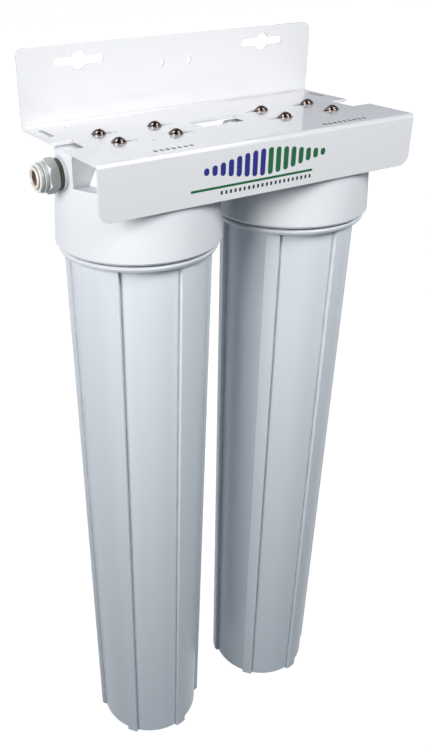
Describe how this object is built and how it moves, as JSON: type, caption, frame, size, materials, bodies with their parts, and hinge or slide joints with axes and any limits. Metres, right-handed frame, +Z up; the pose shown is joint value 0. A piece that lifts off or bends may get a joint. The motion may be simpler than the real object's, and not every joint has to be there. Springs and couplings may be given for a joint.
{
  "type": "twin-housing sediment and dechlorinating water filter",
  "caption": "Wall-hung water filter: screw-off ribbed sumps under a bent steel bracket, carbon and sediment cartridges inside, push-fit tube fittings.",
  "frame": {"origin": "on the bracket's wall face, midway between the two hanger slots", "axes": "+X to the right along the wall, +Y into the wall, +Z up; the sumps hang down along -Z"},
  "size_m": [0.3004, 0.1262, 0.635],
  "materials": {
    "white_steel": "smooth white powder coat, slightly glossy",
    "cap_plastic": "moulded white polypropylene, soft gloss",
    "sump_plastic": "moulded white polypropylene, satin, fine moulding texture",
    "black_screw": "black zinc plate with a greenish cast, glossy",
    "fitting_plastic": "off-white acetal, satin",
    "collet_plastic": "cream acetal",
    "black_rubber": "smooth nitrile rubber, wet with grease",
    "olive_seal": "dark olive-brown rubber, matt",
    "carbon": "pressed carbon, sooty and granular",
    "wrap_fleece": "thin white fleece wrap",
    "core_plastic": "natural polypropylene",
    "end_cap_plastic": "moulded white plastic",
    "gasket_rubber": "soft black rubber",
    "spun_fibre": "melt-blown polypropylene fibre, off-white",
    "spring_steel": "thin spring steel with teeth"
  },
  "bodies": {
    "housing": {"bracket": "white_steel", "left_cap": "cap_plastic", "right_cap": "cap_plastic", "left_cap_screws": "black_screw", "right_cap_screws": "black_screw", "joining_nipple": "fitting_plastic", "left_nipple_seal": "olive_seal", "right_nipple_seal": "olive_seal", "outlet_fitting": "fitting_plastic", "outlet_port_seal": "olive_seal", "outlet_tube_o_ring": "black_rubber", "inlet_fitting": "fitting_plastic", "inlet_port_seal": "olive_seal", "inlet_tube_o_ring": "black_rubber"},
    "outlet_collet": {"outlet_collet": "collet_plastic", "outlet_grab_ring": "spring_steel"},
    "inlet_collet": {"inlet_collet": "collet_plastic", "inlet_grab_ring": "spring_steel"},
    "left_cartridge": {"carbon_block": "carbon", "carbon_wrap": "wrap_fleece", "carbon_core_tube": "core_plastic", "carbon_top_end_cap": "end_cap_plastic", "carbon_bottom_end_cap": "end_cap_plastic", "carbon_top_gasket": "gasket_rubber", "carbon_bottom_gasket": "gasket_rubber"},
    "right_cartridge": {"sediment_sleeve": "spun_fibre", "sediment_core_tube": "core_plastic", "sediment_top_gasket": "gasket_rubber", "sediment_bottom_gasket": "gasket_rubber"},
    "left_sump": {"left_sump": "sump_plastic", "left_sump_o_ring": "black_rubber"},
    "right_sump": {"right_sump": "sump_plastic", "right_sump_o_ring": "black_rubber"}
  },
  "joints": [
    {"name": "left_cartridge_drop", "type": "slide", "parent": "housing", "child": "left_cartridge", "axis": [0, 0, -1], "range_m": [0, 0.018]},
    {"name": "left_sump_turn", "type": "hinge", "parent": "left_cartridge", "child": "left_sump", "pos_m": [-0.0705, -0.0635, 0], "axis": [0, 0, -1], "range_deg": [0, 1080]},
    {"name": "right_cartridge_drop", "type": "slide", "parent": "housing", "child": "right_cartridge", "axis": [0, 0, -1], "range_m": [0, 0.018]},
    {"name": "right_sump_turn", "type": "hinge", "parent": "right_cartridge", "child": "right_sump", "pos_m": [0.0705, -0.0635, 0], "axis": [0, 0, -1], "range_deg": [0, 1080]},
    {"name": "outlet_collet_slide", "type": "slide", "parent": "housing", "child": "outlet_collet", "axis": [1, 0, 0], "range_m": [0, 0.0015]},
    {"name": "inlet_collet_slide", "type": "slide", "parent": "housing", "child": "inlet_collet", "axis": [-1, 0, 0], "range_m": [0, 0.0015]}
  ],
  "couplings": [
    {"joint": "left_cartridge_drop", "follows": "left_sump_turn", "m_per_rad": 0.00095493},
    {"joint": "right_cartridge_drop", "follows": "right_sump_turn", "m_per_rad": 0.00095493}
  ]
}
